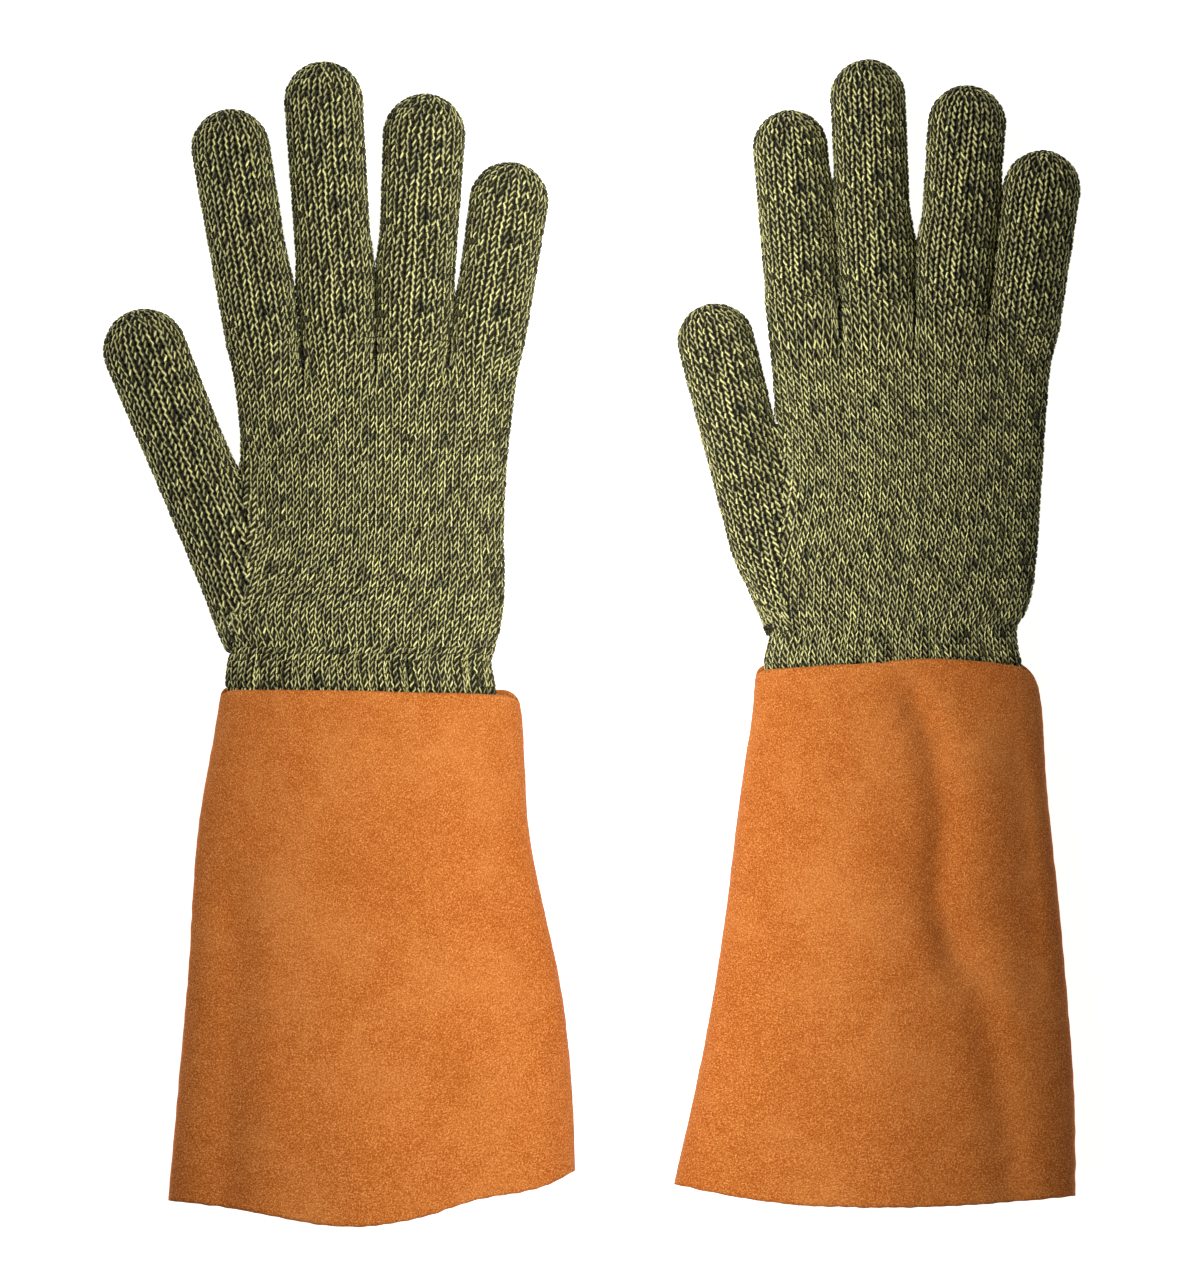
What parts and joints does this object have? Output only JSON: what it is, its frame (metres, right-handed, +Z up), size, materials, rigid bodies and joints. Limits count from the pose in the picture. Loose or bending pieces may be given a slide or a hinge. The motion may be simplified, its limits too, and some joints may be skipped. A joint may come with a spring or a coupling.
{
  "type": "gauntlet work gloves",
  "caption": "Pair of heavy marled knit work gloves with long suede gauntlet cuffs, lying flat, left palm up and right palm down; fingers curl and cuffs fold.",
  "frame": {"origin": "centre of the pair's bounding box at the surface it lies on", "axes": "+Z up from the surface, +Y along the fingers, +X from the left glove to the right glove"},
  "size_m": [0.3377, 0.4007, 0.0379],
  "materials": {
    "knit": "coarse plain knit of marled yellow-green and charcoal yarn",
    "suede": "orange-brown split leather with a short matt nap",
    "seam_thread": "tan sewing thread"
  },
  "bodies": {
    "left_hand": {"left_palm": "knit"},
    "left_gauntlet": {"left_wrist": "knit", "left_cuff_palm_panel": "suede", "left_cuff_back_panel": "suede", "left_cuff_thumb_seam": "seam_thread", "left_cuff_little_seam": "seam_thread", "left_wrist_seam": "seam_thread"},
    "left_thumb_near": {"left_thumb_base": "knit"},
    "left_thumb_far": {"left_thumb_tip": "knit"},
    "left_index_near": {"left_index_base": "knit"},
    "left_index_far": {"left_index_tip": "knit"},
    "left_middle_near": {"left_middle_base": "knit"},
    "left_middle_far": {"left_middle_tip": "knit"},
    "left_ring_near": {"left_ring_base": "knit"},
    "left_ring_far": {"left_ring_tip": "knit"},
    "left_little_near": {"left_little_base": "knit"},
    "left_little_far": {"left_little_tip": "knit"},
    "right_hand": {"right_palm": "knit"},
    "right_gauntlet": {"right_wrist": "knit", "right_cuff_back_panel": "suede", "right_cuff_palm_panel": "suede", "right_cuff_thumb_seam": "seam_thread", "right_cuff_little_seam": "seam_thread", "right_wrist_seam": "seam_thread"},
    "right_thumb_near": {"right_thumb_base": "knit"},
    "right_thumb_far": {"right_thumb_tip": "knit"},
    "right_index_near": {"right_index_base": "knit"},
    "right_index_far": {"right_index_tip": "knit"},
    "right_middle_near": {"right_middle_base": "knit"},
    "right_middle_far": {"right_middle_tip": "knit"},
    "right_ring_near": {"right_ring_base": "knit"},
    "right_ring_far": {"right_ring_tip": "knit"},
    "right_little_near": {"right_little_base": "knit"},
    "right_little_far": {"right_little_tip": "knit"}
  },
  "joints": [
    {"name": "left_gauntlet_fold", "type": "hinge", "parent": "left_hand", "child": "left_gauntlet", "pos_m": [-0.0784, -0.002, 0.0195], "axis": [-1, 0, 0], "range_deg": [0, 40], "stiffness_Nm_per_rad": 0.05},
    {"name": "left_thumb_knuckle", "type": "hinge", "parent": "left_hand", "child": "left_thumb_near", "pos_m": [-0.1275, 0.037, 0.0142], "axis": [0.9167, 0.3996, 0], "range_deg": [0, 60], "stiffness_Nm_per_rad": 0.02},
    {"name": "left_thumb_middle", "type": "hinge", "parent": "left_thumb_near", "child": "left_thumb_far", "pos_m": [-0.14483, 0.07676, 0.0142], "axis": [0.9167, 0.3996, 0], "range_deg": [0, 50], "stiffness_Nm_per_rad": 0.02},
    {"name": "left_index_knuckle", "type": "hinge", "parent": "left_hand", "child": "left_index_near", "pos_m": [-0.112, 0.1025, 0.0142], "axis": [0.9862, 0.1653, 0], "range_deg": [0, 60], "stiffness_Nm_per_rad": 0.02},
    {"name": "left_index_middle", "type": "hinge", "parent": "left_index_near", "child": "left_index_far", "pos_m": [-0.11903, 0.14442, 0.0142], "axis": [0.9862, 0.1653, 0], "range_deg": [0, 50], "stiffness_Nm_per_rad": 0.02},
    {"name": "left_middle_knuckle", "type": "hinge", "parent": "left_hand", "child": "left_middle_near", "pos_m": [-0.0866, 0.1035, 0.0142], "axis": [0.998, 0.0636, 0], "range_deg": [0, 60], "stiffness_Nm_per_rad": 0.02},
    {"name": "left_middle_middle", "type": "hinge", "parent": "left_middle_near", "child": "left_middle_far", "pos_m": [-0.08979, 0.15351, 0.0142], "axis": [0.998, 0.0636, 0], "range_deg": [0, 50], "stiffness_Nm_per_rad": 0.02},
    {"name": "left_ring_knuckle", "type": "hinge", "parent": "left_hand", "child": "left_ring_near", "pos_m": [-0.0612, 0.1035, 0.0142], "axis": [0.9987, -0.0504, 0], "range_deg": [0, 60], "stiffness_Nm_per_rad": 0.02},
    {"name": "left_ring_middle", "type": "hinge", "parent": "left_ring_near", "child": "left_ring_far", "pos_m": [-0.05897, 0.14774, 0.0142], "axis": [0.9987, -0.0504, 0], "range_deg": [0, 50], "stiffness_Nm_per_rad": 0.02},
    {"name": "left_little_knuckle", "type": "hinge", "parent": "left_hand", "child": "left_little_near", "pos_m": [-0.0358, 0.1025, 0.0136], "axis": [0.9886, -0.1504, 0], "range_deg": [0, 60], "stiffness_Nm_per_rad": 0.02},
    {"name": "left_little_middle", "type": "hinge", "parent": "left_little_near", "child": "left_little_far", "pos_m": [-0.03086, 0.13497, 0.0136], "axis": [0.9886, -0.1504, 0], "range_deg": [0, 50], "stiffness_Nm_per_rad": 0.02},
    {"name": "right_gauntlet_fold", "type": "hinge", "parent": "right_hand", "child": "right_gauntlet", "pos_m": [0.1046, 0.0035, 0.0195], "axis": [-1, 0, 0], "range_deg": [0, 40], "stiffness_Nm_per_rad": 0.05},
    {"name": "right_thumb_knuckle", "type": "hinge", "parent": "right_hand", "child": "right_thumb_near", "pos_m": [0.0594, 0.038, 0.0052], "axis": [-0.97, -0.2432, 0], "range_deg": [0, 60], "stiffness_Nm_per_rad": 0.02},
    {"name": "right_thumb_middle", "type": "hinge", "parent": "right_thumb_near", "child": "right_thumb_far", "pos_m": [0.04922, 0.07862, 0.0052], "axis": [-0.97, -0.2432, 0], "range_deg": [0, 50], "stiffness_Nm_per_rad": 0.02},
    {"name": "right_index_knuckle", "type": "hinge", "parent": "right_hand", "child": "right_index_near", "pos_m": [0.0726, 0.1185, 0.0052], "axis": [-0.9973, -0.0739, 0], "range_deg": [0, 60], "stiffness_Nm_per_rad": 0.02},
    {"name": "right_index_middle", "type": "hinge", "parent": "right_index_near", "child": "right_index_far", "pos_m": [0.07012, 0.15197, 0.0052], "axis": [-0.9973, -0.0739, 0], "range_deg": [0, 50], "stiffness_Nm_per_rad": 0.02},
    {"name": "right_middle_knuckle", "type": "hinge", "parent": "right_hand", "child": "right_middle_near", "pos_m": [0.0986, 0.117, 0.0052], "axis": [-0.999, -0.0441, 0], "range_deg": [0, 60], "stiffness_Nm_per_rad": 0.02},
    {"name": "right_middle_middle", "type": "hinge", "parent": "right_middle_near", "child": "right_middle_far", "pos_m": [0.09669, 0.16036, 0.0052], "axis": [-0.999, -0.0441, 0], "range_deg": [0, 50], "stiffness_Nm_per_rad": 0.02},
    {"name": "right_ring_knuckle", "type": "hinge", "parent": "right_hand", "child": "right_ring_near", "pos_m": [0.1246, 0.115, 0.0052], "axis": [-0.9968, 0.0794, 0], "range_deg": [0, 60], "stiffness_Nm_per_rad": 0.02},
    {"name": "right_ring_middle", "type": "hinge", "parent": "right_ring_near", "child": "right_ring_far", "pos_m": [0.12777, 0.15476, 0.0052], "axis": [-0.9968, 0.0794, 0], "range_deg": [0, 50], "stiffness_Nm_per_rad": 0.02},
    {"name": "right_little_knuckle", "type": "hinge", "parent": "right_hand", "child": "right_little_near", "pos_m": [0.1506, 0.112, 0.0052], "axis": [-0.9935, 0.1134, 0], "range_deg": [0, 60], "stiffness_Nm_per_rad": 0.02},
    {"name": "right_little_middle", "type": "hinge", "parent": "right_little_near", "child": "right_little_far", "pos_m": [0.15398, 0.14165, 0.0052], "axis": [-0.9935, 0.1134, 0], "range_deg": [0, 50], "stiffness_Nm_per_rad": 0.02},
    {"name": "lift_right_glove", "type": "slide", "parent": "left_hand", "child": "right_hand", "axis": [0, 0, 1], "range_m": [0, 0.2]}
  ],
  "couplings": [
    {"joint": "left_thumb_middle", "follows": "left_thumb_knuckle", "ratio": 0.8333},
    {"joint": "left_index_middle", "follows": "left_index_knuckle", "ratio": 0.8333},
    {"joint": "left_middle_middle", "follows": "left_middle_knuckle", "ratio": 0.8333},
    {"joint": "left_ring_middle", "follows": "left_ring_knuckle", "ratio": 0.8333},
    {"joint": "left_little_middle", "follows": "left_little_knuckle", "ratio": 0.8333},
    {"joint": "right_thumb_middle", "follows": "right_thumb_knuckle", "ratio": 0.8333},
    {"joint": "right_index_middle", "follows": "right_index_knuckle", "ratio": 0.8333},
    {"joint": "right_middle_middle", "follows": "right_middle_knuckle", "ratio": 0.8333},
    {"joint": "right_ring_middle", "follows": "right_ring_knuckle", "ratio": 0.8333},
    {"joint": "right_little_middle", "follows": "right_little_knuckle", "ratio": 0.8333}
  ]
}
